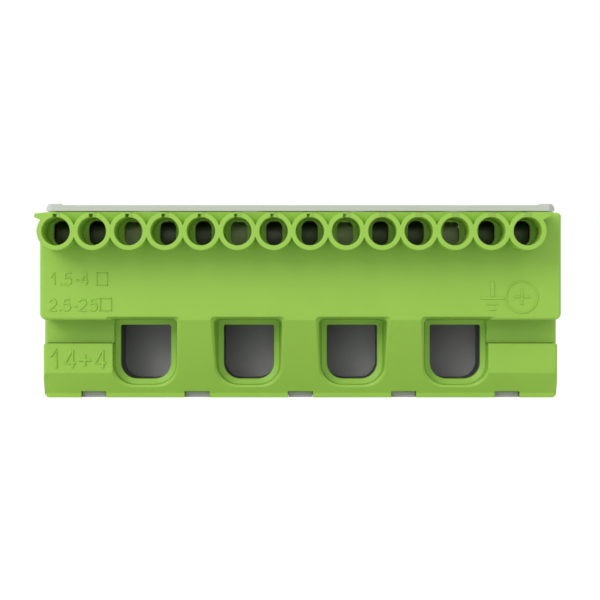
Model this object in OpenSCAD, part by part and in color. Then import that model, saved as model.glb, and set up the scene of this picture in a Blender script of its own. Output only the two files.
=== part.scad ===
// Earth terminal bar: a row of push-in wire entries over a row of screw-clamp windows,
// all joined by one busbar inside a two-part moulded enclosure.
//
// X runs along the bar, +Y goes into the bar from the wire side, +Z is up.
// The origin is the centre of the base. Depths are counted from the tube mouths.

/* [Enclosure] */
// Length of the bar
bar_length = 105.8; // [95:0.1:117]
// Depth of the bar, from the tube mouths to the back
bar_depth = 30.5; // [27.4:0.1:34]
// Height of the front housing
housing_height = 37.9; // [35:0.1:40]
// Wall thickness of the side walls
side_wall = 1.6; // [1.2:0.1:2.4]
// Thickness of the front panel
panel_wall = 1.6; // [1.2:0.1:1.8]
// Thickness of the top wall
top_wall = 1.2; // [0.9:0.1:1.5]
// Thickness of the floor
floor_wall = 2.3; // [2.1:0.1:2.4]
// Radius of the housing's outer corners
corner_r = 1; // [0.4:0.1:1.6]
// Radius of the panel's lower corners
panel_corner_r = 1.5; // [0.7:0.1:2.2]
// Radius of the edges around the panel and the flange
edge_r = 0.6; // [0.3:0.05:0.65]

/* [Front face] */
// Depth of the upright panel behind the tube mouths
panel_depth = 8; // [7:0.1:8.6]
// Height of the panel's lower edge
panel_bottom = 16.08; // [16:0.02:16.5]
// Slope of the lower face from the vertical, in degrees
face_slope = 26.8; // [25:0.2:27.4]
// Depth of the recesses at both ends
recess_depth = 15.65; // [14.5:0.05:16.4]
// Depth of the upright face of the end blocks
block_depth = 13.54; // [12.6:0.1:14.4]
// Height of the end blocks
block_height = 11.2; // [8:0.1:12.5]

/* [Push-in entries] */
// Distance of the first tube's axis from the left end of the bar
first_tube = 4.24; // [4:0.02:4.8]
// Distance of the last tube's axis from the right end of the bar
last_tube = 7.7; // [6.6:0.02:8.4]
// Distance of the tube axes below the housing's top
tube_drop = 4.08; // [4.04:0.02:4.3]
// Bore of a tube
tube_bore = 5.66; // [4.8:0.02:5.7]
// Outer diameter of a tube
tube_outer = 7.58; // [7.3:0.02:7.6]
// Depth of a tube's bore
tube_depth = 10; // [8.8:0.1:10.6]
// Width of the slot in a tube's end wall
slot_width = 3.3; // [2.6:0.05:3.6]
// Height of the slot in a tube's end wall
slot_height = 4.95; // [4.4:0.05:5.2]
// Radius of the slot's corners
slot_r = 1.5; // [0.3:0.1:1.6]
// Thickness of a tube's end wall
end_wall = 1.5; // [1:0.1:1.8]
// Width of the notch in the top of a bore, at the mouth
notch_width = 1.25; // [0.6:0.05:1.6]
// Width of the notch at its inner end
notch_end = 0.2; // [0.1:0.05:0.5]
// Height of the notch in the top of a bore
notch_height = 0.62; // [0.3:0.02:0.7]
// Length of the notch in the top of a bore
notch_length = 3.5; // [1:0.1:6]
// Distance of the roof that joins the tubes below the housing's top
roof_drop = 0.24; // [0.1:0.02:0.3]
// Set-back of the roof's front edge behind the tube mouths
roof_setback = 0.4; // [0.2:0.1:2]
// Set-back of the roof's lower edge behind its front edge
roof_draft = 1.8; // [0.4:0.1:3]
// Width of the pointed wing at the left end of the roof
left_wing = 3.1; // [2.4:0.1:3.6]
// Width of the wing at the right end of the roof
right_wing = 5.05; // [3.6:0.05:5.8]
// Width of a release slot in the top
release_width = 3; // [2:0.1:3.6]
// Length of a release slot in the top
release_length = 2; // [1.4:0.1:2.2]

/* [Clamp windows] */
// Distance of the outer latches from the ends of the bar
latch_margin = 10.14; // [9.4:0.02:12]
// Width of a window
window_width = 10.42; // [9.4:0.02:10.5]
// Height of a window's lower edge
window_bottom = 3.83; // [3.8:0.01:4.6]
// Height of a window's upper edge
window_top = 15.02; // [14:0.02:15.1]
// Radius of a window's lower corners
window_r = 3.4; // [2:0.1:4.2]
// Radius of a window's upper corners
window_top_r = 0.45; // [0.3:0.05:1]
// Depth of the windows behind the tube mouths
window_depth = 17.3; // [17:0.05:17.4]
// Width of the sloped lead-in around a window
lead_in_width = 1.08; // [0.8:0.02:1.1]
// Depth of the sloped lead-in around a window
lead_in_depth = 0.5; // [0.3:0.05:1.2]
// Draft of a funnel's sides and floor, in degrees
funnel_draft = 5; // [3:0.25:6]
// Draft of a funnel's ceiling, in degrees
ceiling_draft = 2; // [0.5:0.1:2.2]
// Width of the bevel around a funnel's mouth
mouth_bevel = 0.5; // [0.2:0.05:0.6]
// Thickness of the wall behind the windows
window_wall = 0.6; // [0.5:0.05:0.7]

/* [Latches] */
// Width of a latch notch in the floor
latch_width = 5.15; // [4:0.05:5.4]
// Height of a latch notch in the floor
latch_height = 1.25; // [1:0.05:1.3]
// Depth of the latch tips behind the tube mouths
latch_tip = 17.2; // [16.8:0.1:22]
// Height of a latch's catch
catch_height = 0.55; // [0.3:0.05:0.6]
// Gap between a latch and its notch
latch_gap = 0.1; // [0.06:0.01:0.2]

/* [Rear cover] */
// Thickness of the back wall
back_wall = 2; // [1.6:0.1:2.4]
// Thickness of the top flange
flange_wall = 1.25; // [1:0.05:1.5]
// Width of the top flange in front of the screw access holes
flange_rim = 1.4; // [1:0.1:1.6]
// Height of the shadow gap below the top flange
shadow_gap = 0.65; // [0.5:0.05:0.9]
// Overhang of the top flange over its seat
overhang = 1.6; // [1:0.1:1.8]
// Width of the chamfers at the front corners of the top flange
flange_chamfer = 1.15; // [0.6:0.05:1.6]
// Height of the pads at both ends of the top flange
pad_height = 0.25; // [0.1:0.05:0.4]
// Length of the pads at both ends of the top flange
pad_length = 2.8; // [2:0.1:4]
// Distance of the pads from the ends of the bar
pad_inset = 0.45; // [0.3:0.05:1]
// Thickness of the ribs that guide the clamp cages
guide_wall = 1.2; // [0.8:0.1:1.5]
// Clear diameter of a screw access hole
access_bore = 8.4; // [8:0.1:8.8]

/* [Busbar] */
// Thickness of the busbar
bar_wall = 1.5; // [1.2:0.05:1.6]
// Depth of the busbar's front face
bar_front = 15.9; // [15.8:0.05:16]
// Height of the underside of the clamp tongues
tongue_height = 17.1; // [17.05:0.05:17.3]
// Gap between a clamp tongue and the back wall
tongue_gap = 0.8; // [0.4:0.1:1.6]
// Width of a conductor window in the busbar
pass_width = 4.4; // [3.8:0.1:4.8]
// Height of the conductor windows above the tube axes
pass_above = 2.7; // [2:0.02:2.7]
// Height of the conductor windows below the tube axes
pass_below = 3.22; // [2.8:0.02:3.4]
// Height of the busbar above the conductor windows
bar_bridge = 0.6; // [0.4:0.05:0.6]

/* [Clamp cages and screws] */
// Thickness of a clamp cage's sides and floor
cage_wall = 1.2; // [1:0.05:1.25]
// Thickness of a clamp cage's threaded head
cage_head = 2.6; // [2:0.1:3]
// Depth of a clamp cage's front edge
cage_front = 18.2; // [18.1:0.05:18.4]
// Gap between a clamp cage and the back wall
cage_gap = 0.7; // [0.4:0.1:1]
// Travel of a clamp cage, from open to clamped
cage_travel = 11; // [9:0.1:11.2]
// Diameter of a screw's shank
screw_d = 5.9; // [5:0.1:6]
// Radial gap between a shank and the cage's thread
thread_gap = 0.05; // [0.02:0.01:0.08]
// Diameter of a screw's head
screw_head_d = 7.6; // [6.8:0.1:7.8]
// Height of a screw's head
screw_head_h = 2.6; // [2:0.1:2.8]
// Width of the cross recess's arms
recess_width = 1.3; // [0.8:0.05:1.6]
// Depth of the cross recess
recess_sink = 1.7; // [1:0.1:1.8]

/* [Push-in springs] */
// Thickness of the spring strip
spring_wall = 0.45; // [0.3:0.01:0.5]
// Width of the spring strip
spring_width = 3.8; // [3:0.1:4]
// Height of the spring's lower bend
spring_bottom = 20; // [19.6:0.1:21]

/* [Hidden] */
// One spring stands behind each entry, and one cage and screw behind each window
tube_count = 14;
window_count = 4;
// Gap of a fixed joint, and gap beside a moving piece
seam = 0.05;
run_gap = 0.3;
// How deep joined forms overlap, and how far a cut runs past a face
lap = 0.5;
past = 1;
arc_steps = 8;
$fn = 48;

// Outer form
half_length = bar_length / 2;
back_depth = bar_depth - back_wall;
slope = tan(face_slope);
foot_depth = panel_depth + panel_bottom * slope;
tube_height = housing_height - tube_drop;
roof_height = housing_height - roof_drop;
seat_height = housing_height + shadow_gap;
flange_bottom = seat_height + seam;
flange_top = flange_bottom + flange_wall;
ceiling = housing_height - top_wall;

// Push-in entries
tube_pitch = (bar_length - first_tube - last_tube) / (tube_count - 1);
tube_xs = [for (i = [0 : tube_count - 1]) first_tube - half_length + i * tube_pitch];
tube_low = tube_height - tube_outer / 2;
tube_floor = tube_low - lap;
bay_depth = tube_depth + end_wall;
slot_corner = min(slot_r, slot_width / 2 - 0.1);
wing_tip_height = roof_height - 0.36;
wing_tip_wall = 0.72;
wing_undercut = 0.42;

// Clamp windows and their funnels
window_pitch = (bar_length - 2 * latch_margin) / window_count;
window_xs = [for (i = [0 : window_count - 1]) (i - (window_count - 1) / 2) * window_pitch];
latch_xs = [for (i = [0 : window_count]) (i - window_count / 2) * window_pitch];
cavity_depth = window_depth + window_wall;
rim_depth = window_depth - lead_in_depth;
funnel_reach = rim_depth - panel_depth + past;
side_growth = tan(funnel_draft);
mouth_low = (window_bottom - lead_in_width - side_growth * (rim_depth - foot_depth))
    / (1 + side_growth * slope);
mouth_low_depth = foot_depth - mouth_low * slope;
mouth_high = window_top + lead_in_width + (rim_depth - panel_depth) * tan(ceiling_draft);
end_x = window_xs[window_count - 1] + window_width / 2 + lead_in_width - 0.08;

// Cores that keep the mouldings' walls even
core_wall = 1.8;
core_floor = 4;
core_side = 1.1;
core_width = window_pitch - window_width - 2 * (lead_in_width + funnel_reach * side_growth + core_side);
end_core_side = 2.7;
end_core_width = half_length - end_x - 2 * end_core_side;

// Catch on a latch, behind the latch's tip
catch_start = 0.6;
catch_ramp = 1;
catch_land = 0.6;
catch_end = catch_start + catch_ramp + catch_land;
pad_depth = 4;

// Busbar, clamps and springs
shelf_height = tongue_height - seam;
pass_top = tube_height + pass_above;
pass_bottom = tube_height - pass_below;
bar_top = pass_top + bar_bridge;
tongue_end = back_depth - tongue_gap;
cage_length = back_depth - cage_gap - cage_front;
cage_width = window_width + 2 * cage_wall;
cage_top = tongue_height + bar_wall + 2 * run_gap;
guide_gap = cage_width / 2 + run_gap;
screw_y = cage_front + cage_length / 2;
flange_depth = screw_y - access_bore / 2 - flange_rim;
head_bottom = cage_top + cage_head + cage_travel + 0.2;
tip_bevel = 0.6;
head_bevel = 0.4;

// ---- Helpers ----

// Y of a depth behind the tube mouths
function y_at(d) = d - bar_depth / 2;

// Points along an arc from angle a0 to a1
function arc(cx, cy, r, a0, a1) =
    [for (i = [0 : arc_steps]) let (a = a0 + (a1 - a0) * i / arc_steps) [cx + r * cos(a), cy + r * sin(a)]];

// Unit normal of a path at point i
function normal_at(p, i) =
    let (v = p[min(i + 1, len(p) - 1)] - p[max(i - 1, 0)])
    [-v[1], v[0]] / norm(v);

// Outline of a strip of thickness t that follows a path
function ribbon(p, t) = concat(
    [for (i = [0 : len(p) - 1]) p[i] + normal_at(p, i) * t / 2],
    [for (i = [len(p) - 1 : -1 : 0]) p[i] - normal_at(p, i) * t / 2]);

// Upright outline from z0 to z1, w0 wide below and w1 above, with its own radii below and above
function flared(w0, w1, z0, z1, r0, r1) = concat(
    arc(w0 / 2 - r0, z0 + r0, r0, -90, 0),
    arc(w1 / 2 - r1, z1 - r1, r1, 0, 90),
    arc(-w1 / 2 + r1, z1 - r1, r1, 90, 180),
    arc(-w0 / 2 + r0, z0 + r0, r0, 180, 270));

// Upright outline of even width w
function arch(w, z0, z1, r0, r1) = flared(w, w, z0, z1, r0, r1);

// Plan of a body from front depth d0 back to d1, with rounded front corners
function plan(w, d0, d1, r) = concat(
    arc(w / 2 - r, d0 + r, r, -90, 0),
    [[w / 2, d1], [-w / 2, d1]],
    arc(-w / 2 + r, d0 + r, r, 180, 270));

// Extrudes a side view (depth, height) along X, from x0 to x1
module side_view(x0, x1) {
    translate([x0, -bar_depth / 2, 0])
        rotate([90, 0, 90])
            linear_extrude(x1 - x0) children();
}

// Extrudes a front view (X, height) from depth d0 to d1
module front_view(d0, d1) {
    translate([0, y_at(d1), 0])
        rotate([90, 0, 0])
            linear_extrude(d1 - d0) children();
}

// Extrudes a plan (X, depth) from height z0 to z1
module plan_view(z0, z1) {
    translate([0, -bar_depth / 2, z0])
        linear_extrude(z1 - z0) children();
}

// Box between two corners, with its depths counted from the tube mouths
module block(x0, x1, d0, d1, z0, z1) {
    translate([x0, y_at(d0), z0]) cube([x1 - x0, d1 - d0, z1 - z0]);
}

// Round bore or pin along +Y, from depth d0 to d1
module rod_y(x, z, d, d0, d1) {
    translate([x, y_at(d0), z]) rotate([-90, 0, 0]) cylinder(d = d, h = d1 - d0);
}

// Round hole above one clamp screw
module access_cut(x) {
    translate([x, y_at(screw_y), ceiling - past])
        cylinder(d = access_bore, h = flange_top + pad_height - ceiling + 2 * past);
}

// ---- Front housing ----

// Body behind the end recesses
module rear_body() {
    intersection() {
        front_view(recess_depth, back_depth - seam)
            polygon(arch(bar_length, 0, housing_height, corner_r, corner_r));
        plan_view(0, housing_height)
            polygon(plan(bar_length, recess_depth, bar_depth, edge_r));
    }
}

// Upright panel, with rounded edges
module panel() {
    intersection() {
        front_view(panel_depth, recess_depth + past)
            polygon(arch(bar_length, panel_bottom, housing_height, panel_corner_r, corner_r));
        plan_view(0, housing_height)
            polygon(plan(bar_length, panel_depth, bar_depth, edge_r));
        side_view(-half_length, half_length)
            polygon(concat(
                arc(panel_depth + edge_r, panel_bottom + edge_r, edge_r, 270, 180),
                arc(panel_depth + edge_r, housing_height - edge_r, edge_r, 180, 90),
                [[bar_depth, housing_height], [bar_depth, panel_bottom]]));
    }
}

// Wedge that forms the sloping face between the end recesses
module sloping_face() {
    root = recess_depth + past;
    shoulder = panel_bottom + 2 * panel_wall;
    side_view(-end_x, end_x)
        polygon([[foot_depth, 0], [panel_depth, panel_bottom], [panel_depth, shoulder],
            [root, shoulder], [root, 0]]);
}

// Stepped block that stands out at one end of the sloping face
module end_block(side) {
    crease = panel_bottom - (block_depth - panel_depth) / slope;
    inner_x = end_x - 2 * corner_r;
    intersection() {
        side_view(-half_length, half_length)
            polygon([[foot_depth, 0], [block_depth, crease], [block_depth, block_height],
                [recess_depth + past, block_height], [recess_depth + past, 0]]);
        front_view(block_depth - past, recess_depth + 2 * past)
            translate([side * (half_length + inner_x) / 2, 0])
                polygon(arch(half_length - inner_x, 0, block_height, corner_r, 0.5 * corner_r));
        plan_view(0, block_height)
            polygon(plan(bar_length, block_depth, bar_depth, edge_r));
    }
}

// Seat of the rear cover's flange
module flange_seat() {
    block(-half_length + corner_r, half_length - corner_r, flange_depth + overhang,
        back_depth - seam, housing_height - lap, seat_height);
}

// Roof over the tubes, which slopes back between them and has a wing at each end
module tube_roof() {
    first = tube_xs[0];
    last = tube_xs[tube_count - 1];
    root = panel_depth + past;
    wing_low = wing_tip_height - wing_tip_wall;
    side_view(first, last)
        polygon([[roof_setback, roof_height], [roof_setback + roof_draft, tube_height],
            [root, tube_height], [root, roof_height]]);
    front_view(0, root)
        polygon([[first, tube_height], [-half_length + 1.05, wing_low - wing_undercut],
            [-half_length, wing_low], [-half_length, wing_tip_height],
            [-half_length + left_wing, roof_height], [first, roof_height]]);
    front_view(0, root)
        polygon([[last, tube_height], [last + 0.65 * right_wing, wing_low - wing_undercut],
            [last + 0.85 * right_wing, wing_low], [last + right_wing, wing_low + wing_undercut],
            [last + right_wing, roof_height], [last, roof_height]]);
}

// One wire entry: bore, slot in the end wall, tapered notch and release slot
module tube_cuts(x) {
    rod_y(x, tube_height, tube_bore, -past, tube_depth);
    translate([x, 0, tube_height])
        front_view(tube_depth - lap, bay_depth + lap)
            polygon(arch(slot_width, -slot_height / 2, slot_height / 2, slot_corner, slot_corner));
    taper = (notch_width - notch_end) / 2 / notch_length;
    mouth = notch_width / 2 + past * taper;
    plan_view(tube_height, tube_height + tube_bore / 2 + notch_height)
        polygon([[x - mouth, -past], [x + mouth, -past],
            [x + notch_end / 2, notch_length], [x - notch_end / 2, notch_length]]);
    block(x - release_width / 2, x + release_width / 2, bay_depth + past,
        bay_depth + past + release_length, ceiling - past, housing_height + past);
}

// Outline of a window, grown by g on all sides
module window_outline(g = 0) {
    polygon(arch(window_width + 2 * g, window_bottom - g, window_top + g,
        window_r + g * 0.8, window_top_r + g * 0.5));
}

// Cut from outline children() at depth d to one scaled about height z, h nearer to the viewer
module tapered_cut(x, d, z, h, grow) {
    translate([x, y_at(d), z])
        rotate([90, 0, 0])
            linear_extrude(h, slices = 1, scale = grow)
                translate([0, -z]) children();
}

// Drafted funnel, lead-in and window of one screw clamp
module funnel(x) {
    width = window_width + 2 * lead_in_width;
    height = window_top - window_bottom + 2 * lead_in_width;
    rise = funnel_reach * tan(ceiling_draft);
    drop = funnel_reach * side_growth;
    fixed_z = window_top + lead_in_width - height * rise / (rise + drop);
    tapered_cut(x, rim_depth + seam, fixed_z, funnel_reach,
        [1 + 2 * drop / width, 1 + (rise + drop) / height])
        window_outline(lead_in_width);
    tapered_cut(x, window_depth, (window_top + window_bottom) / 2, lead_in_depth,
        [width / window_width, height / (window_top - window_bottom)])
        window_outline();
    translate([x, 0, 0])
        front_view(window_depth - seam, cavity_depth + lap) window_outline();
}

// Bevel around a funnel's mouth, square to the sloping face
module mouth_cut(x) {
    low = (mouth_low - panel_bottom) / cos(face_slope) + lap;
    high = (mouth_high - panel_bottom) / cos(face_slope) - lap;
    w0 = window_width + 2 * (lead_in_width + (rim_depth - mouth_low_depth) * side_growth - lap);
    w1 = window_width + 2 * (lead_in_width + (rim_depth - panel_depth) * side_growth - lap);
    rise = mouth_bevel + 2 * lap;
    middle = (low + high) / 2;
    mean_width = (w0 + w1) / 2;
    translate([x, y_at(panel_depth), panel_bottom])
        rotate([90 + face_slope, 0, 0])
            translate([0, middle, -mouth_bevel - lap])
                linear_extrude(rise, slices = 1,
                    scale = [1 + 2 * rise / mean_width, 1 + 2 * rise / (high - low)])
                    translate([0, -middle])
                        polygon(flared(w0, w1, low, high, window_r + lead_in_width - lap, window_top_r));
}

// Hollow that holds the busbar, springs and clamps
module housing_cavity() {
    inner = half_length - side_wall;
    bay_front = panel_depth + panel_wall;
    side_view(-inner, inner)
        polygon([[bay_front, shelf_height], [bay_front, tube_floor], [bay_depth, tube_floor],
            [bay_depth, ceiling], [bar_front - run_gap, ceiling], [bar_front - run_gap, bar_top + seam],
            [bar_front + bar_wall + run_gap, bar_top + seam], [bar_front + bar_wall + run_gap, ceiling],
            [bar_depth, ceiling], [bar_depth, floor_wall], [cavity_depth, floor_wall],
            [cavity_depth, shelf_height]]);
    // cores behind the thick stretches between the windows
    core_top = panel_bottom - past;
    for (i = [1 : window_count - 1])
        side_view(latch_xs[i] - core_width / 2, latch_xs[i] + core_width / 2)
            polygon([[foot_depth + core_wall - core_floor * slope, core_floor],
                [panel_depth + core_wall + slope * past, core_top],
                [cavity_depth + past, core_top], [cavity_depth + past, core_floor]]);
    for (side = [-1, 1])
        translate([side * (end_x + half_length) / 2, 0, 0])
            block(-end_core_width / 2, end_core_width / 2, block_depth + core_wall,
                cavity_depth + past, core_floor, block_height - core_wall);
}

// Rib between two push-in springs
module spring_rib(x) {
    bay_front = panel_depth + panel_wall;
    side_view(x - guide_wall / 2, x + guide_wall / 2)
        polygon([[bay_front - lap, shelf_height + past], [bay_front - lap, tube_floor + lap],
            [bay_depth - lap, tube_floor + lap], [bay_depth - lap, ceiling + seam],
            [bar_front - 2 * seam, ceiling + seam], [bar_front - 2 * seam, shelf_height + past]]);
}

// Notch in the floor for one latch, with the pocket for its catch
module latch_notch(x) {
    block(x - latch_width / 2, x + latch_width / 2, panel_depth, bar_depth, -past, latch_height);
    block(x - latch_width / 2, x + latch_width / 2, latch_tip + catch_start - latch_gap,
        latch_tip + catch_end + latch_gap, 0, latch_height + catch_height + latch_gap);
}

module front_housing() {
    color("yellowgreen") difference() {
        union() {
            difference() {
                union() {
                    rear_body();
                    panel();
                    sloping_face();
                    for (side = [-1, 1]) end_block(side);
                    flange_seat();
                    for (x = tube_xs) rod_y(x, tube_height, tube_outer, 0, panel_depth + past);
                    tube_roof();
                }
                housing_cavity();
            }
            for (x = tube_xs) spring_rib(x + tube_pitch / 2);
        }
        for (x = tube_xs) tube_cuts(x);
        for (x = window_xs) {
            funnel(x);
            mouth_cut(x);
            access_cut(x);
        }
        for (x = latch_xs) latch_notch(x);
    }
}

// ---- Rear cover ----

// Top flange with a pad at each end
module flange() {
    intersection() {
        union() {
            front_view(flange_depth, back_depth + lap)
                polygon(arch(bar_length, flange_bottom, flange_top, 0.3, 0.6));
            for (side = [-1, 1])
                translate([side * (half_length - pad_inset - pad_length / 2), 0, 0])
                    front_view(flange_depth, flange_depth + pad_depth)
                        polygon(arch(pad_length, flange_top - lap, flange_top + pad_height, 0.2, 0.2));
        }
        plan_view(0, flange_top + past)
            polygon([[half_length - flange_chamfer, flange_depth],
                [half_length, flange_depth + flange_chamfer], [half_length, bar_depth],
                [-half_length, bar_depth], [-half_length, flange_depth + flange_chamfer],
                [-half_length + flange_chamfer, flange_depth]]);
    }
}

// Latch tongue that lies in one floor notch
module latch(x) {
    top = latch_height - latch_gap;
    crest = latch_tip + catch_start + catch_ramp;
    side_view(x - latch_width / 2 + latch_gap, x + latch_width / 2 - latch_gap)
        polygon([[latch_tip, 0], [latch_tip, top], [latch_tip + catch_start, top],
            [crest, top + catch_height], [latch_tip + catch_end, top + catch_height],
            [latch_tip + catch_end, top], [back_depth + lap, top], [back_depth + lap, 0]]);
}

// Rib on the back wall beside a clamp cage
module guide_rib(x) {
    block(x - guide_wall / 2, x + guide_wall / 2, cage_front + past, back_depth + lap,
        floor_wall + run_gap, ceiling - run_gap);
}

module rear_cover() {
    color("gainsboro") difference() {
        union() {
            front_view(back_depth, bar_depth)
                polygon(arch(bar_length, 0, flange_top, corner_r, 0.6));
            flange();
            for (x = latch_xs) latch(x);
            for (x = window_xs, side = [-1, 1])
                guide_rib(x + side * (guide_gap + guide_wall / 2));
        }
        for (x = window_xs) access_cut(x);
    }
}

// ---- Busbar ----

// Bent tongue that runs into one clamp cage
module tongue(x) {
    bend = bar_wall + lap;
    path = concat([[bar_front + bar_wall / 2, tongue_height + bend + past]],
        arc(bar_front + bend, tongue_height + bend, bend - bar_wall / 2, 180, 270),
        [[tongue_end, tongue_height + bar_wall / 2]]);
    side_view(x - window_width / 2 + run_gap, x + window_width / 2 - run_gap)
        polygon(ribbon(path, bar_wall));
}

module busbar() {
    inner = half_length - side_wall - run_gap;
    color("silver") {
        difference() {
            block(-inner, inner, bar_front, bar_front + bar_wall,
                tongue_height + bar_wall + 2 * lap, bar_top);
            for (x = tube_xs)
                block(x - pass_width / 2, x + pass_width / 2, bar_front - past,
                    bar_front + bar_wall + past, pass_bottom, pass_top);
        }
        for (x = window_xs) tongue(x);
    }
}

// ---- Push-in springs ----

// Bent strip: back leg on the busbar, lower bend, and a clamping leg that closes the entry
module push_spring(i) {
    back = bar_front - seam - spring_wall / 2;
    front = bay_depth + lap;
    r = (back - front) / 2;
    lower = spring_bottom + spring_wall / 2 + r;
    knee = tube_floor - 1.2;
    path = concat([[back, pass_bottom - 1.2], [back, lower + lap]],
        arc(back - r, lower, r, 0, -180),
        [[front, knee - 0.8], [front + 0.12, knee], [front + 0.55, knee + 0.8],
            [bar_front + 0.7 * bar_wall, pass_top - 0.35]]);
    color("dimgray")
        side_view(tube_xs[i] - spring_width / 2, tube_xs[i] + spring_width / 2)
            polygon(ribbon(path, spring_wall));
}

// ---- Clamp cages and screws ----

// Closed clamp cage, drawn open: its floor lines up with the window
module clamp_cage(i) {
    color("lightsteelblue") difference() {
        translate([window_xs[i], 0, 0])
            front_view(cage_front, cage_front + cage_length)
                difference() {
                    polygon(arch(cage_width, window_bottom - cage_wall, cage_top + cage_head,
                        window_r + cage_wall, 0.8));
                    polygon(arch(window_width, window_bottom, cage_top, window_r, 0.4));
                }
        translate([window_xs[i], y_at(screw_y), cage_top - past])
            cylinder(d = screw_d + 2 * thread_gap, h = cage_head + 2 * past);
    }
}

// Clamp screw, whose tip bears on the busbar tongue
module clamp_screw(i) {
    tip = tongue_height + bar_wall + seam;
    shank = tip + tip_bevel;
    crown = head_bottom + screw_head_h - head_bevel;
    reach = 0.36 * screw_head_d;
    color("lightgray") translate([window_xs[i], y_at(screw_y), 0])
        difference() {
            union() {
                translate([0, 0, tip]) cylinder(d1 = screw_d - 2 * tip_bevel, d2 = screw_d, h = tip_bevel);
                translate([0, 0, shank]) cylinder(d = screw_d, h = head_bottom - shank + lap);
                translate([0, 0, head_bottom]) cylinder(d = screw_head_d, h = crown - head_bottom);
                translate([0, 0, crown])
                    cylinder(d1 = screw_head_d, d2 = screw_head_d - 2 * head_bevel, h = head_bevel);
            }
            for (turn = [0, 90])
                rotate(turn)
                    translate([-reach, -recess_width / 2, head_bottom + screw_head_h - recess_sink])
                        cube([2 * reach, recess_width, recess_sink + past]);
        }
}

front_housing();
rear_cover();
busbar();
push_spring(0);  // push_spring_01
push_spring(1);  // push_spring_02
push_spring(2);  // push_spring_03
push_spring(3);  // push_spring_04
push_spring(4);  // push_spring_05
push_spring(5);  // push_spring_06
push_spring(6);  // push_spring_07
push_spring(7);  // push_spring_08
push_spring(8);  // push_spring_09
push_spring(9);  // push_spring_10
push_spring(10);  // push_spring_11
push_spring(11);  // push_spring_12
push_spring(12);  // push_spring_13
push_spring(13);  // push_spring_14
clamp_cage(0);  // clamp_cage_1
clamp_cage(1);  // clamp_cage_2
clamp_cage(2);  // clamp_cage_3
clamp_cage(3);  // clamp_cage_4
clamp_screw(0);  // clamp_screw_1
clamp_screw(1);  // clamp_screw_2
clamp_screw(2);  // clamp_screw_3
clamp_screw(3);  // clamp_screw_4
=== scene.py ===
"""Looks of the earth terminal bar: finishes, painted light and shade, markings, screw threads,
studio and camera.
"""

import math

import bmesh
import bpy
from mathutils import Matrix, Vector


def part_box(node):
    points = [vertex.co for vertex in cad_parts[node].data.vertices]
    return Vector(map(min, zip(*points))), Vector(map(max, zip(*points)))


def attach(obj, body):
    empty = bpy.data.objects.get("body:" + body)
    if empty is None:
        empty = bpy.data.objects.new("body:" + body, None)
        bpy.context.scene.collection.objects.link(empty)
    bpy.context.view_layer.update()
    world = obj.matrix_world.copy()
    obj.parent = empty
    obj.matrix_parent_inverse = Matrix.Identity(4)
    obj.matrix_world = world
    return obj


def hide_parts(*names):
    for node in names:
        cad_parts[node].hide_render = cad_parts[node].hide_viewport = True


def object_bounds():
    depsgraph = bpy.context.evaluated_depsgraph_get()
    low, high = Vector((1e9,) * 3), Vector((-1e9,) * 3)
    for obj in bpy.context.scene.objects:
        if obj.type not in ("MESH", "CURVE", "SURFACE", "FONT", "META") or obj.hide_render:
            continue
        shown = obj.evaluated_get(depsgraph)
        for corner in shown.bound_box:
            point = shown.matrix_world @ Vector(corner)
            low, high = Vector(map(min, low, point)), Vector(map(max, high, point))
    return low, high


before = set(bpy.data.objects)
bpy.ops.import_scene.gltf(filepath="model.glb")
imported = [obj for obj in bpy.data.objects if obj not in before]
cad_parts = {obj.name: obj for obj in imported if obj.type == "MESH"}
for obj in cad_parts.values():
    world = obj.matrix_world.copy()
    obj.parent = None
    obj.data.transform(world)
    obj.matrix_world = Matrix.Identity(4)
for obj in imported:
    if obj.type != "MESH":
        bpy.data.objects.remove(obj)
cad_box = [list(corner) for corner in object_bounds()]


# ---- Places on the part, in metres ----

MM = 0.001
LOW, HIGH = (Vector(corner) for corner in cad_box)
CENTRE = (LOW + HIGH) / 2
FRONT_Y = LOW.y

# Faces of the housing that carry marks or painted gap shadows, by their depth behind the tube mouths
PANEL_Y = FRONT_Y + 8.0 * MM
BLOCK_Y = FRONT_Y + 13.54 * MM
SEAT_Y = FRONT_Y + 19.0 * MM

# Axis height and radius of the wire entries
ENTRY_Z = 33.82 * MM
ENTRY_RADIUS = 2.83 * MM

CAGE_WALL = 1.2 * MM


def nodes_named(start):
    """Names of the CAD nodes that begin with start, from left to right."""
    return sorted(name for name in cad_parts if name.startswith(start))


def middles(boxes):
    """X of the middle of each box."""
    return [(low.x + high.x) / 2 for low, high in boxes]


def spacing(centres):
    """Distance between neighbours in an even row."""
    return (centres[-1] - centres[0]) / (len(centres) - 1)


SPRINGS = nodes_named("push_spring")
CAGES = nodes_named("clamp_cage")
SCREWS = nodes_named("clamp_screw")
CAGE_BOXES = [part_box(cage) for cage in CAGES]
CHAMBER_XS = middles(CAGE_BOXES)
ENTRY_XS = middles([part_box(spring) for spring in SPRINGS])


# ---- Colours and shader nodes ----


def linear(red, green, blue):
    """Linear colour of an sRGB colour given from 0 to 255."""

    def channel(value):
        c = value / 255
        return c / 12.92 if c <= 0.04045 else ((c + 0.055) / 1.055) ** 2.4

    return (channel(red), channel(green), channel(blue), 1.0)


def shaded(colour, factor):
    """A colour with its red, green and blue multiplied by a factor."""
    return tuple(min(1.0, c * factor) for c in colour[:3]) + (1.0,)


def neutral(level):
    """Linear grey of a level from 0 to 1."""
    return (level, level, level, 1.0)


def add_node(tree, kind, inputs, **settings):
    """A new node with its settings made and its inputs linked to sockets or set to values."""
    node = tree.nodes.new(kind)
    for setting, value in settings.items():
        setattr(node, setting, value)
    for name, value in inputs.items():
        if isinstance(value, bpy.types.NodeSocket):
            tree.links.new(value, node.inputs[name])
        else:
            node.inputs[name].default_value = value
    return node


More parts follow.
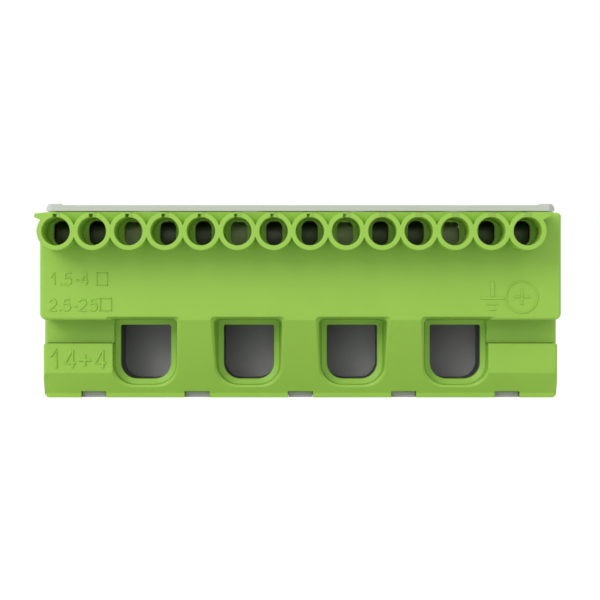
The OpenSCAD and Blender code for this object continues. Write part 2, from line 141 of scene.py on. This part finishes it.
def object_coordinates(tree, scale=(1.0, 1.0, 1.0)):
    """Object coordinates, multiplied by a scale for each axis."""
    source = add_node(tree, "ShaderNodeTexCoord", {})
    inputs = {"Vector": source.outputs["Object"], "Scale": scale}
    return add_node(tree, "ShaderNodeMapping", inputs).outputs["Vector"]


def position_axes(tree):
    """X, Y and Z of the object coordinates, in metres."""
    source = add_node(tree, "ShaderNodeTexCoord", {})
    axes = add_node(tree, "ShaderNodeSeparateXYZ", {"Vector": source.outputs["Object"]})
    return axes.outputs["X"], axes.outputs["Y"], axes.outputs["Z"]


def noise(tree, vector, scale, detail, roughness=0.5):
    """Factor of a noise texture with features of about 1 / scale metres."""
    inputs = {"Vector": vector, "Scale": scale, "Detail": detail, "Roughness": roughness}
    return add_node(tree, "ShaderNodeTexNoise", inputs).outputs["Fac"]


def arithmetic(tree, operation, first, second):
    """Result of a Math node on two sockets, or on a socket and a number."""
    node = add_node(tree, "ShaderNodeMath", {0: first, 1: second}, operation=operation)
    return node.outputs["Value"]


def product(tree, factors):
    """Product of several sockets."""
    result = factors[0]
    for factor in factors[1:]:
        result = arithmetic(tree, "MULTIPLY", result, factor)
    return result


def ranged(tree, value, start, end, low, high, curve="SMOOTHSTEP"):
    """Runs from low, where the value is at start or before, to high at end and after."""
    inputs = {
        "Value": value, "From Min": start, "From Max": end, "To Min": low, "To Max": high
    }
    node = add_node(tree, "ShaderNodeMapRange", inputs, interpolation_type=curve)
    return node.outputs["Result"]


def rises(tree, value, start, end):
    """0 up to start and 1 from end on."""
    return ranged(tree, value, start, end, 0.0, 1.0)


def falls(tree, value, start, end):
    """1 up to start and 0 from end on."""
    return ranged(tree, value, start, end, 1.0, 0.0)


BORDER = 0.1 * MM


def between(tree, value, start, end):
    """1 between start and end, with a narrow border inside them, and 0 elsewhere."""
    rise = rises(tree, value, start, start + BORDER)
    return product(tree, [rise, falls(tree, value, end - BORDER, end)])


def across_row(tree, x, centres):
    """X measured from the nearest centre of an even row, for places near the part."""
    pitch = spacing(centres)
    whole_pitches = 20 * pitch  # keeps the MODULO node's value above zero
    from_first = arithmetic(tree, "ADD", x, whole_pitches + pitch / 2 - centres[0])
    return arithmetic(tree, "SUBTRACT", arithmetic(tree, "MODULO", from_first, pitch), pitch / 2)


# ---- Materials ----


def new_material(name):
    """A node material with its node tree and its Principled shader."""
    material = bpy.data.materials.new(name)
    material.use_nodes = True
    tree = material.node_tree
    return material, tree, tree.nodes["Principled BSDF"]


def mottled(tree, shader, pattern, colour, darkest, lightest):
    """Base colour that follows a pattern from a darker to a lighter shade of a colour."""
    node = add_node(tree, "ShaderNodeValToRGB", {"Fac": pattern})
    dark, light = node.color_ramp.elements
    dark.position = 0.3
    dark.color = shaded(colour, darkest)
    light.position = 0.7
    light.color = shaded(colour, lightest)
    tree.links.new(node.outputs["Color"], shader.inputs["Base Color"])


def uneven(tree, shader, pattern, smoothest, roughest):
    """Roughness that follows a pattern from smoothest to roughest."""
    roughness = ranged(tree, pattern, 0.0, 1.0, smoothest, roughest, curve="LINEAR")
    tree.links.new(roughness, shader.inputs["Roughness"])


def bumped(tree, shader, height, depth, edge_radius):
    """Fine relief of a depth on the shader, over edges that look rounded by a radius."""
    bevel = add_node(tree, "ShaderNodeBevel", {"Radius": edge_radius}, samples=6)
    inputs = {"Height": height, "Distance": depth, "Normal": bevel.outputs["Normal"]}
    bump = add_node(tree, "ShaderNodeBump", inputs)
    tree.links.new(bump.outputs["Normal"], shader.inputs["Normal"])


def moulded_plastic(name, colour, roughness, edge_radius):
    """Satin moulded plastic: cloudy pigment, fine spark-eroded texture, rounded mould edges."""
    material, tree, shader = new_material(name)
    place = object_coordinates(tree)
    clouds = noise(tree, place, scale=90.0, detail=4.0)
    patches = noise(tree, place, scale=260.0, detail=3.0)
    texture = noise(tree, place, scale=5200.0, detail=2.0)
    mottled(tree, shader, clouds, colour, darkest=0.975, lightest=1.02)
    uneven(tree, shader, patches, smoothest=roughness - 0.05, roughest=roughness + 0.05)
    bumped(tree, shader, texture, depth=0.006 * MM, edge_radius=edge_radius)
    return material


def plated_metal(name, colour, roughness, grain, metallic=1.0):
    """Plated metal with rolling marks, which run along the axes where the grain's scale is small."""
    material, tree, shader = new_material(name)
    marks = noise(tree, object_coordinates(tree, grain), scale=900.0, detail=5.0, roughness=0.6)
    spots = noise(tree, object_coordinates(tree), scale=240.0, detail=3.0)
    mottled(tree, shader, spots, colour, darkest=0.88, lightest=1.06)
    uneven(tree, shader, marks, smoothest=roughness - 0.08, roughest=roughness + 0.1)
    bumped(tree, shader, marks, depth=0.01 * MM, edge_radius=0.1 * MM)
    shader.inputs["Metallic"].default_value = metallic
    return material


def mix_into_base(material, where, second, blend):
    """Blends a second colour into a material's base colour, as far as a factor says."""
    tree = material.node_tree
    base = tree.nodes["Principled BSDF"].inputs["Base Color"]
    inputs = {"Factor": where, "A": base.links[0].from_socket, "B": second}
    mix = add_node(tree, "ShaderNodeMix", inputs, data_type="RGBA", blend_type=blend)
    tree.links.new(mix.outputs["Result"], base)


def paint_chamber_shade(material):
    """Paints shade on the wall behind the clamp chambers: darker towards their upper left, lighter
    at their right.
    """
    left_painted_shade = 0.58
    right_painted_light = 1.22
    top_painted_shade = 0.5
    darkest_z = 15.5 * MM
    tree = material.node_tree
    x, y, z = position_axes(tree)
    cage_low, cage_high = CAGE_BOXES[0]
    half_width = (cage_high.x - cage_low.x) / 2 - CAGE_WALL
    across = across_row(tree, x, CHAMBER_XS)
    side = ranged(tree, across, -half_width, half_width, left_painted_shade, right_painted_light)
    height = ranged(tree, z, cage_low.z + CAGE_WALL, darkest_z, 1.0, top_painted_shade)
    half_pitch = spacing(CHAMBER_XS) / 2

    # Only the wall's inner side, from the cages' depth on, at their height and in their row
    masks = [
        rises(tree, y, cage_high.y - 6 * MM, cage_high.y - 5 * MM),
        falls(tree, y, HIGH.y - 0.7 * MM, HIGH.y - 0.6 * MM),
        falls(tree, z, darkest_z + 3 * MM, darkest_z + 5 * MM),
        between(tree, x, CHAMBER_XS[0] - half_pitch, CHAMBER_XS[-1] + half_pitch),
    ]
    mix_into_base(material, product(tree, masks), product(tree, [side, height]), "MULTIPLY")


def paint_entry_light(material, colour):
    """Paints light into the bores of the wire entries: a paler colour that stands in for light
    inside them.
    """
    tree = material.node_tree
    x, y, z = position_axes(tree)
    across = across_row(tree, x, ENTRY_XS)
    up = arithmetic(tree, "SUBTRACT", z, ENTRY_Z)
    squares = arithmetic(tree, "ADD", product(tree, [across, across]), product(tree, [up, up]))
    from_axis = arithmetic(tree, "POWER", squares, 0.5)
    reach = ENTRY_RADIUS + BORDER
    masks = [
        falls(tree, from_axis, ENTRY_RADIUS, reach),
        rises(tree, y, FRONT_Y + 0.3 * MM, FRONT_Y + 1.6 * MM),
        between(tree, x, ENTRY_XS[0] - reach, ENTRY_XS[-1] + reach),
    ]
    mix_into_base(material, product(tree, masks), colour, "MIX")


# PAINTED_LIGHT_GREEN is painted light for the inside of the wire entry bores
GREEN = linear(155, 203, 73)
PAINTED_LIGHT_GREEN = linear(185, 224, 98)
GREY = linear(206, 203, 208)
TIN = linear(190, 190, 186)
ZINC = linear(120, 121, 118)
BRIGHT = linear(196, 197, 194)
DARK_STEEL = linear(74, 86, 54)
STEEL = linear(84, 88, 74)
PALE_STEEL = linear(164, 178, 134)

green_plastic = moulded_plastic("green_plastic", GREEN, 0.47, edge_radius=0.28 * MM)
green_marking = moulded_plastic("green_marking", GREEN, 0.47, edge_radius=0.03 * MM)
# Darker green that paints the shade in the notches above the wire entries
key_green = moulded_plastic("key_green", shaded(GREEN, 0.82), 0.47, edge_radius=0.03 * MM)
# Dark green that paints the shadow in narrow gaps
joint_shade = moulded_plastic("joint_shade", shaded(GREEN, 0.4), 0.7, edge_radius=0.02 * MM)
grey_plastic = moulded_plastic("grey_plastic", GREY, 0.55, edge_radius=0.22 * MM)
tinned_copper = plated_metal("tinned_copper", TIN, 0.38, grain=(0.2, 1.0, 1.0))
zinc_steel = plated_metal("zinc_steel", ZINC, 0.45, grain=(1.0, 0.15, 1.0))
screw_steel = plated_metal("screw_steel", BRIGHT, 0.3, grain=(1.0, 1.0, 1.0))

# Painted light and shade: some springs' strips are paler and some darker, for how much light reaches
# each in its slot
STRIP_GRAIN = (1.0, 0.3, 0.3)
spring_painted_shades = {
    "dark": plated_metal("spring_steel_dark", DARK_STEEL, 0.4, STRIP_GRAIN, metallic=0.5),
    "plain": plated_metal("spring_steel", STEEL, 0.36, STRIP_GRAIN, metallic=0.5),
    "pale": plated_metal("spring_steel_pale", PALE_STEEL, 0.55, STRIP_GRAIN, metallic=0.7),
}

# Painted shade of each spring, from left to right
SPRING_PAINTED_SHADES = ["dark", "dark", "pale", "plain", "dark", "pale", "plain"]
SPRING_PAINTED_SHADES += ["dark", "pale", "dark", "dark", "pale", "dark", "dark"]


def dress(obj, material):
    """Gives an object one material in place of any other."""
    obj.data.materials.clear()
    obj.data.materials.append(material)


paint_chamber_shade(grey_plastic)
paint_entry_light(green_plastic, PAINTED_LIGHT_GREEN)
dress(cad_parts["front_housing"], green_plastic)
dress(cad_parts["rear_cover"], grey_plastic)
dress(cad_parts["busbar"], tinned_copper)
for spring, look in zip(SPRINGS, SPRING_PAINTED_SHADES):
    dress(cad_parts[spring], spring_painted_shades[look])
for cage in CAGES:
    dress(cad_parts[cage], zinc_steel)


# ---- Building pieces ----


def add_piece(name, mesh, body, material):
    """An object with a mesh and a material, which rides on a body."""
    obj = bpy.data.objects.new(name, mesh)
    bpy.context.scene.collection.objects.link(obj)
    dress(obj, material)
    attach(obj, body)
    return obj


def add_trim(name, mesh, material=green_marking):
    """A small piece that rides on the housing, in a material given to it."""
    return add_piece(name, mesh, "enclosure", material)


def ring_of_quads(bm, near, far):
    """Faces between two closed loops of as many vertices."""
    for i in range(len(near)):
        j = (i + 1) % len(near)
        bm.faces.new((near[i], near[j], far[j], far[i]))


def outward_mesh(name, bm):
    """Mesh of the faces built in bm, all turned outwards."""
    bmesh.ops.recalc_face_normals(bm, faces=bm.faces)
    mesh = bpy.data.meshes.new(name)
    bm.to_mesh(mesh)
    bm.free()
    return mesh


def solids_mesh(name, solids):
    """Mesh of solids, each given by the corners of its two opposite faces."""
    bm = bmesh.new()
    for first, second in solids:
        near = [bm.verts.new(corner) for corner in first]
        far = [bm.verts.new(corner) for corner in second]
        bm.faces.new(near)
        bm.faces.new(far)
        ring_of_quads(bm, near, far)
    return outward_mesh(name, bm)


def prism(plan, z0, z1):
    """Two opposite faces of a prism over a plan of (x, y) corners, from height z0 to z1."""
    return [(x, y, z0) for x, y in plan], [(x, y, z1) for x, y in plan]


# ---- Raised marks on faces that look along -Y ----

# Marks reach as far into their face as they stand out from it, and get narrower outwards
RELIEF = 0.2 * MM
BAR_SLOPE = 0.6 * RELIEF
RING_SLOPE = 0.5 * RELIEF


def arc_points(centre, radius, start, end):
    """Points of an arc around centre, from start to end in degrees, some 22 degrees apart."""
    steps = max(4, round(abs(end - start) / 22))
    angles = [math.radians(start + (end - start) * i / steps) for i in range(steps + 1)]
    return [(centre[0] + radius * math.cos(a), centre[1] + radius * math.sin(a)) for a in angles]


# Strokes of plain figures, one unit high, as (across, up) points from the base line's left end
GLYPHS = {
    "1": [[(0.1, 0.64), (0.42, 1.0), (0.42, 0.0)]],
    "2": [[*arc_points((0.3, 0.7), 0.3, 165, -35), (0.02, 0.0), (0.62, 0.0)]],
    "4": [[(0.46, 1.0), (0.08, 0.26), (0.64, 0.26)], [(0.5, 1.0), (0.5, 0.0)]],
    "5": [[(0.56, 1.0), (0.1, 1.0), (0.06, 0.56), *arc_points((0.27, 0.32), 0.31, 118, -140)]],
    ".": [[(0.0, 0.02), (0.06, 0.02)]],
    "-": [[(0.0, 0.36), (0.24, 0.36)]],
    "+": [[(0.0, 0.42), (0.66, 0.42)], [(0.33, 0.1), (0.33, 0.74)]],
}

# Share of a full advance that the narrow figures take; all others take a whole one
NARROW_ADVANCE = {".": 0.28, "-": 0.42}


def raised_numbers(name, text, face_y, left, base, height, advance, stroke):
    """Raised plain figures, drawn with a round stroke."""
    curve = bpy.data.curves.new(name + "_curve", "CURVE")
    curve.dimensions = "3D"
    curve.bevel_depth = stroke / 2
    curve.bevel_resolution = 2
    curve.use_fill_caps = True
    x = left
    for figure in text:
        for line in GLYPHS[figure]:
            path = curve.splines.new("POLY")
            path.points.add(len(line) - 1)
            for point, (u, v) in zip(path.points, line):
                point.co = (x + u * height, face_y, base + v * height, 1.0)
        x += NARROW_ADVANCE.get(figure, 1.0) * advance
    source = bpy.data.objects.new(name + "_source", curve)
    bpy.context.scene.collection.objects.link(source)
    graph = bpy.context.evaluated_depsgraph_get()
    mesh = bpy.data.meshes.new_from_object(source.evaluated_get(graph))
    bpy.data.objects.remove(source)
    mesh.name = name
    add_trim(name, mesh)


def raised_bars(name, face_y, bars):
    """Raised straight bars, each (x0, x1, z0, z1), with sloped edges."""
    solids = []
    for x0, x1, z0, z1 in bars:
        foot = [(x0, z0), (x1, z0), (x1, z1), (x0, z1)]
        left, right = x0 + BAR_SLOPE, x1 - BAR_SLOPE
        low, high = z0 + BAR_SLOPE, z1 - BAR_SLOPE
        top = [(left, low), (right, low), (right, high), (left, high)]
        inner = [(x, face_y + RELIEF, z) for x, z in foot]
        outer = [(x, face_y - RELIEF, z) for x, z in top]
        solids.append((inner, outer))
    add_trim(name, solids_mesh(name, solids))


def centred_bar(x, z, width, height):
    """Bar (x0, x1, z0, z1) around a middle."""
    return x - width / 2, x + width / 2, z - height / 2, z + height / 2


def square_sign(left, base, width, height):
    """Bars of the square that stands for square millimetres."""
    stroke = 0.35 * MM
    right, top = left + width, base + height
    return [
        (left, left + stroke, base, top),
        (right - stroke, right, base, top),
        (left, right, base, base + stroke),
        (left, right, top - stroke, top),
    ]


def raised_ring(name, face_y, centre_x, centre_z, radius, stroke):
    """Raised ring with sloped edges."""
    sides = 72
    profile = [
        (radius - stroke / 2, RELIEF),
        (radius - stroke / 2 + RING_SLOPE, -RELIEF),
        (radius + stroke / 2 - RING_SLOPE, -RELIEF),
        (radius + stroke / 2, RELIEF),
    ]
    bm = bmesh.new()
    loops = []
    for i in range(sides):
        a = 2 * math.pi * i / sides
        corners = [
            (centre_x + r * math.cos(a), face_y + depth, centre_z + r * math.sin(a))
            for r, depth in profile
        ]
        loops.append([bm.verts.new(corner) for corner in corners])
    for near, far in zip(loops, loops[1:] + loops[:1]):
        ring_of_quads(bm, near, far)
    add_trim(name, outward_mesh(name, bm))


# The two ranges of conductors at the upper left, each with its square, and the count of entries
raised_numbers(
    "range_small", "1.5-4", PANEL_Y, left=LOW.x + 2.0 * MM, base=23.25 * MM,
    height=2.4 * MM, advance=2.3 * MM, stroke=0.46 * MM,
)
raised_numbers(
    "range_large", "2.5-25", PANEL_Y, left=LOW.x + 1.9 * MM, base=18.0 * MM,
    height=2.3 * MM, advance=2.25 * MM, stroke=0.46 * MM,
)
raised_bars(
    "range_signs",
    PANEL_Y,
    square_sign(LOW.x + 11.4 * MM, base=23.0 * MM, width=2.5 * MM, height=2.8 * MM)
    + square_sign(LOW.x + 12.1 * MM, base=17.85 * MM, width=2.6 * MM, height=2.8 * MM),
)
raised_numbers(
    "entry_count", "14+4", BLOCK_Y, left=LOW.x + 1.1 * MM, base=6.2 * MM,
    height=3.7 * MM, advance=3.1 * MM, stroke=0.6 * MM,
)

# Earth sign at the right: a stem on three bars that get shorter downwards
EARTH_X = HIGH.x - 13.95 * MM
raised_bars(
    "earth_sign",
    PANEL_Y,
    [
        centred_bar(EARTH_X, 22.35 * MM, width=1.0 * MM, height=3.3 * MM),
        centred_bar(EARTH_X, 20.525 * MM, width=5.0 * MM, height=0.65 * MM),
        centred_bar(EARTH_X, 19.35 * MM, width=2.5 * MM, height=0.6 * MM),
        centred_bar(EARTH_X, 18.225 * MM, width=1.5 * MM, height=0.55 * MM),
    ],
)

# Ring with a plain cross in it, for the screw clamps; the cross's arms meet its upright
RING_X = HIGH.x - 8.0 * MM
RING_Z = 20.8 * MM
CROSS_STROKE = 0.6 * MM
CROSS_REACH = 1.7 * MM
ARM_LENGTH = CROSS_REACH - CROSS_STROKE / 2
ARM_X = (CROSS_REACH + CROSS_STROKE / 2) / 2
raised_ring("clamp_sign", PANEL_Y, RING_X, RING_Z, radius=3.2 * MM, stroke=0.45 * MM)
raised_bars(
    "clamp_sign_cross",
    PANEL_Y,
    [
        centred_bar(RING_X, RING_Z, width=CROSS_STROKE, height=2 * CROSS_REACH),
        centred_bar(RING_X - ARM_X, RING_Z, width=ARM_LENGTH, height=CROSS_STROKE),
        centred_bar(RING_X + ARM_X, RING_Z, width=ARM_LENGTH, height=CROSS_STROKE),
    ],
)


# ---- Trim and painted shade on the housing ----

# Notch above each wire entry: half its width and the height of its lower edge
NOTCH_HALF = 0.62 * MM
NOTCH_Z = ENTRY_Z + 2.78 * MM

# Slit that a key leaves open at its left: its width at the middle of the bar, its change along X
SLIT_IN_MIDDLE = 0.12 * MM
SLIT_PER_X = -0.008
WIDEST_SLIT = 0.5 * MM


def entry_key(x):
    """Key in the notch above the entry at x, with a thin skin over it that hides its edges; its
    darker green paints the notch's shade.
    """
    slit = min(WIDEST_SLIT, max(0.0, SLIT_IN_MIDDLE + SLIT_PER_X * x))
    left = x - NOTCH_HALF + slit
    right = x + NOTCH_HALF
    middle = left + 0.45 * (right - left)
    back = FRONT_Y + 3.0 * MM
    body_plan = [
        (left, FRONT_Y + 0.9 * MM),
        (middle, FRONT_Y + 0.35 * MM),
        (right, FRONT_Y + 0.1 * MM),
        (right, back),
        (left, back),
    ]
    overlap = 0.25 * MM
    near = middle if slit > 0 else left - overlap
    far = right + overlap
    skin_y = FRONT_Y - 0.02 * MM
    skin_back = skin_y + 0.3 * MM
    skin_plan = [
        (near, skin_y + 0.1 * MM),
        (near + 0.3 * MM, skin_y),
        (far, skin_y),
        (far, skin_back),
        (near, skin_back),
    ]
    body = prism(body_plan, NOTCH_Z, ENTRY_Z + 3.5 * MM)
    skin = prism(skin_plan, NOTCH_Z, ENTRY_Z + 3.72 * MM)
    return [body, skin]


def entry_keys():
    """Keys in the notches above the wire entries, which they fill more towards the right, in a
    darker green that paints the notches' shade.
    """
    solids = [solid for x in ENTRY_XS for solid in entry_key(x)]
    add_trim("entry_keys", solids_mesh("entry_keys", solids), key_green)


def strip(x0, x1, y0, y1, z0, z1):
    """Two opposite faces of a straight block."""
    return prism([(x0, y0), (x1, y0), (x1, y1), (x0, y1)], z0, z1)


def block_joints():
    """Dark strips that paint the shadow in the gaps along the tops of the end blocks and under the
    cover's flange.
    """
    inner_x = CHAMBER_XS[-1] + 6.25 * MM
    outer_x = HIGH.x - 0.9 * MM
    seat_x = HIGH.x - 1.1 * MM
    block_y = (BLOCK_Y + 0.5 * MM, BLOCK_Y + 2.2 * MM)
    block_z = (11.0 * MM, 11.4 * MM)
    seat_y = (SEAT_Y - 0.04 * MM, SEAT_Y + 0.1 * MM)
    seat_z = (37.85 * MM, 38.54 * MM)
    solids = [
        strip(-outer_x, -inner_x, *block_y, *block_z),
        strip(inner_x, outer_x, *block_y, *block_z),
        strip(-seat_x, seat_x, *seat_y, *seat_z),
    ]
    add_trim("block_joints", solids_mesh("block_joints", solids), joint_shade)


entry_keys()
block_joints()


# ---- Screw threads ----

PITCH = 1.0 * MM
CREST_RADIUS = 2.95 * MM
CORE_RADIUS = 2.5 * MM
TIP_RADIUS = 2.25 * MM
HEAD_HEIGHT = 2.6 * MM
STEPS_PER_TURN = 48
ROWS_PER_PITCH = 10

# The flanks rise this much steeper than a plain V, which leaves flats at the core and the crest
FLANK = 1.35


def thread_radius(turn, height, tip_z):
    """Radius of a V-thread with small flats, run out at the tip."""
    phase = (height / PITCH - turn) % 1.0
    wave = abs(2.0 * phase - 1.0)
    ridge = min(1.0, max(0.0, 0.5 + FLANK * (wave - 0.5)))
    radius = CORE_RADIUS + (CREST_RADIUS - CORE_RADIUS) * ridge
    return min(radius, TIP_RADIUS + (height - tip_z))


def threaded_screw(node):
    """Clamp screw with its CAD head and a real thread, which replaces the CAD node."""
    low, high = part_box(node)
    axis = (low + high) / 2
    head_z = high.z - HEAD_HEIGHT
    top_z = head_z + 0.2 * MM  # the thread ends inside the head
    bm = bmesh.new()
    bm.from_mesh(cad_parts[node].data)
    shank = [v for v in bm.verts if v.co.z < head_z - 0.05 * MM]
    bmesh.ops.delete(bm, geom=shank, context="VERTS")
    rows = math.ceil((head_z - low.z) / (PITCH / ROWS_PER_PITCH))
    rings = []
    for row in range(rows + 1):
        z = low.z + (top_z - low.z) * row / rows
        ring = []
        for step in range(STEPS_PER_TURN):
            turn = step / STEPS_PER_TURN
            radius = thread_radius(turn, z, low.z)
            angle = 2 * math.pi * turn
            x = axis.x + radius * math.cos(angle)
            y = axis.y + radius * math.sin(angle)
            ring.append(bm.verts.new((x, y, z)))
        rings.append(ring)
    for below, above in zip(rings, rings[1:]):
        ring_of_quads(bm, below, above)
    bm.faces.new(list(reversed(rings[0])))
    name = node.replace("clamp_screw", "threaded_screw")
    mesh = bpy.data.meshes.new(name)
    bm.to_mesh(mesh)
    bm.free()
    obj = add_piece(name, mesh, node.replace("clamp_", ""), screw_steel)
    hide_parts(node)


for screw in SCREWS:
    threaded_screw(screw)


# ---- Studio ----

WHITE = neutral(1.0)
FLOOR_SIZE = 4.0
FLOOR_BOUNCE = 0.6
FLOOR_SEEN_MATT = 0.25
FLOOR_SEEN_GLOW = 0.85

# The dome of light: the direction of its strongest side, and its strength from end to end
DOME_TOWARDS = Vector((-0.5, -0.4, 0.75))
DOME_WEAKEST = 0.13
DOME_STRONGEST = 1.1

# The lamp, from the middle of the part, and the camera
LAMP_OFFSET = Vector((-0.50, -0.68, 0.46))
LAMP_SIZE = 0.5
LAMP_POWER = 2.95
CAMERA_DISTANCE = 382 * MM
CAMERA_X = -0.09 * MM
CAMERA_Z = 20.14 * MM
VIEW_WIDTH = 119.24 * MM


def seen_directly(tree):
    """1 for rays from the camera, from glossy surfaces and through clear ones, else 0."""
    rays = add_node(tree, "ShaderNodeLightPath", {}).outputs
    either = arithmetic(tree, "MAXIMUM", rays["Is Camera Ray"], rays["Is Glossy Ray"])
    return arithmetic(tree, "MAXIMUM", either, rays["Is Transmission Ray"])


def show_when_seen(tree, output, lighting, seen):
    """Surface that lights the part with one shader and shows itself with another."""
    inputs = {"Fac": seen_directly(tree), 1: lighting, 2: seen}
    mix = add_node(tree, "ShaderNodeMixShader", inputs)
    tree.links.new(mix.outputs["Shader"], output.inputs["Surface"])


def white_floor():
    """Pale floor that shows the camera a white ground and keeps the part's shadow."""
    bpy.ops.mesh.primitive_plane_add(size=FLOOR_SIZE, location=(0, 0, LOW.z))
    floor = bpy.context.object
    floor.name = "floor"
    material, tree, shader = new_material("floor_white")
    tree.nodes.remove(shader)
    bounce = add_node(tree, "ShaderNodeBsdfDiffuse", {"Color": neutral(FLOOR_BOUNCE)})
    matt = add_node(tree, "ShaderNodeBsdfDiffuse", {"Color": neutral(FLOOR_SEEN_MATT)})
    glow = add_node(tree, "ShaderNodeEmission", {"Color": WHITE, "Strength": FLOOR_SEEN_GLOW})
    inputs = {0: matt.outputs["BSDF"], 1: glow.outputs["Emission"]}
    seen = add_node(tree, "ShaderNodeAddShader", inputs)
    output = tree.nodes["Material Output"]
    show_when_seen(tree, output, bounce.outputs["BSDF"], seen.outputs["Shader"])
    dress(floor, material)


def studio_world():
    """White background, with a soft dome of light that is stronger at the upper left."""
    world = bpy.data.worlds.new("studio")
    bpy.context.scene.world = world
    world.use_nodes = True
    tree = world.node_tree
    place = add_node(tree, "ShaderNodeTexCoord", {}).outputs["Generated"]
    inputs = {0: place, 1: DOME_TOWARDS.normalized()}
    facing = add_node(tree, "ShaderNodeVectorMath", inputs, operation="DOT_PRODUCT")
    alignment = facing.outputs["Value"]
    strength = ranged(tree, alignment, -1.0, 1.0, DOME_WEAKEST, DOME_STRONGEST, curve="LINEAR")
    dome = add_node(tree, "ShaderNodeBackground", {"Color": WHITE, "Strength": strength})
    white = add_node(tree, "ShaderNodeBackground", {"Color": WHITE, "Strength": 1.0})
    output = tree.nodes["World Output"]
    show_when_seen(tree, output, dome.outputs["Background"], white.outputs["Background"])


def key_lamp():
    """Square area lamp at the upper left in front of the part, which faces its middle."""
    data = bpy.data.lights.new("key", "AREA")
    data.size = LAMP_SIZE
    data.energy = LAMP_POWER
    lamp = bpy.data.objects.new("key", data)
    bpy.context.scene.collection.objects.link(lamp)
    lamp.location = CENTRE + LAMP_OFFSET
    lamp.rotation_euler = (-LAMP_OFFSET).to_track_quat("-Z", "Y").to_euler()


def make_camera():
    """Camera square to the wire side, level with the middle of the bar."""
    data = bpy.data.cameras.new("camera")
    data.sensor_width = 36.0
    data.lens = data.sensor_width * CAMERA_DISTANCE / VIEW_WIDTH
    data.clip_start = 0.01
    camera = bpy.data.objects.new("camera", data)
    bpy.context.scene.collection.objects.link(camera)
    camera.location = (CAMERA_X, FRONT_Y - CAMERA_DISTANCE, CAMERA_Z)
    camera.rotation_euler = (math.radians(90), 0.0, 0.0)
    bpy.context.scene.camera = camera


white_floor()
studio_world()
key_lamp()
make_camera()

bpy.context.scene.view_settings.view_transform = "Standard"
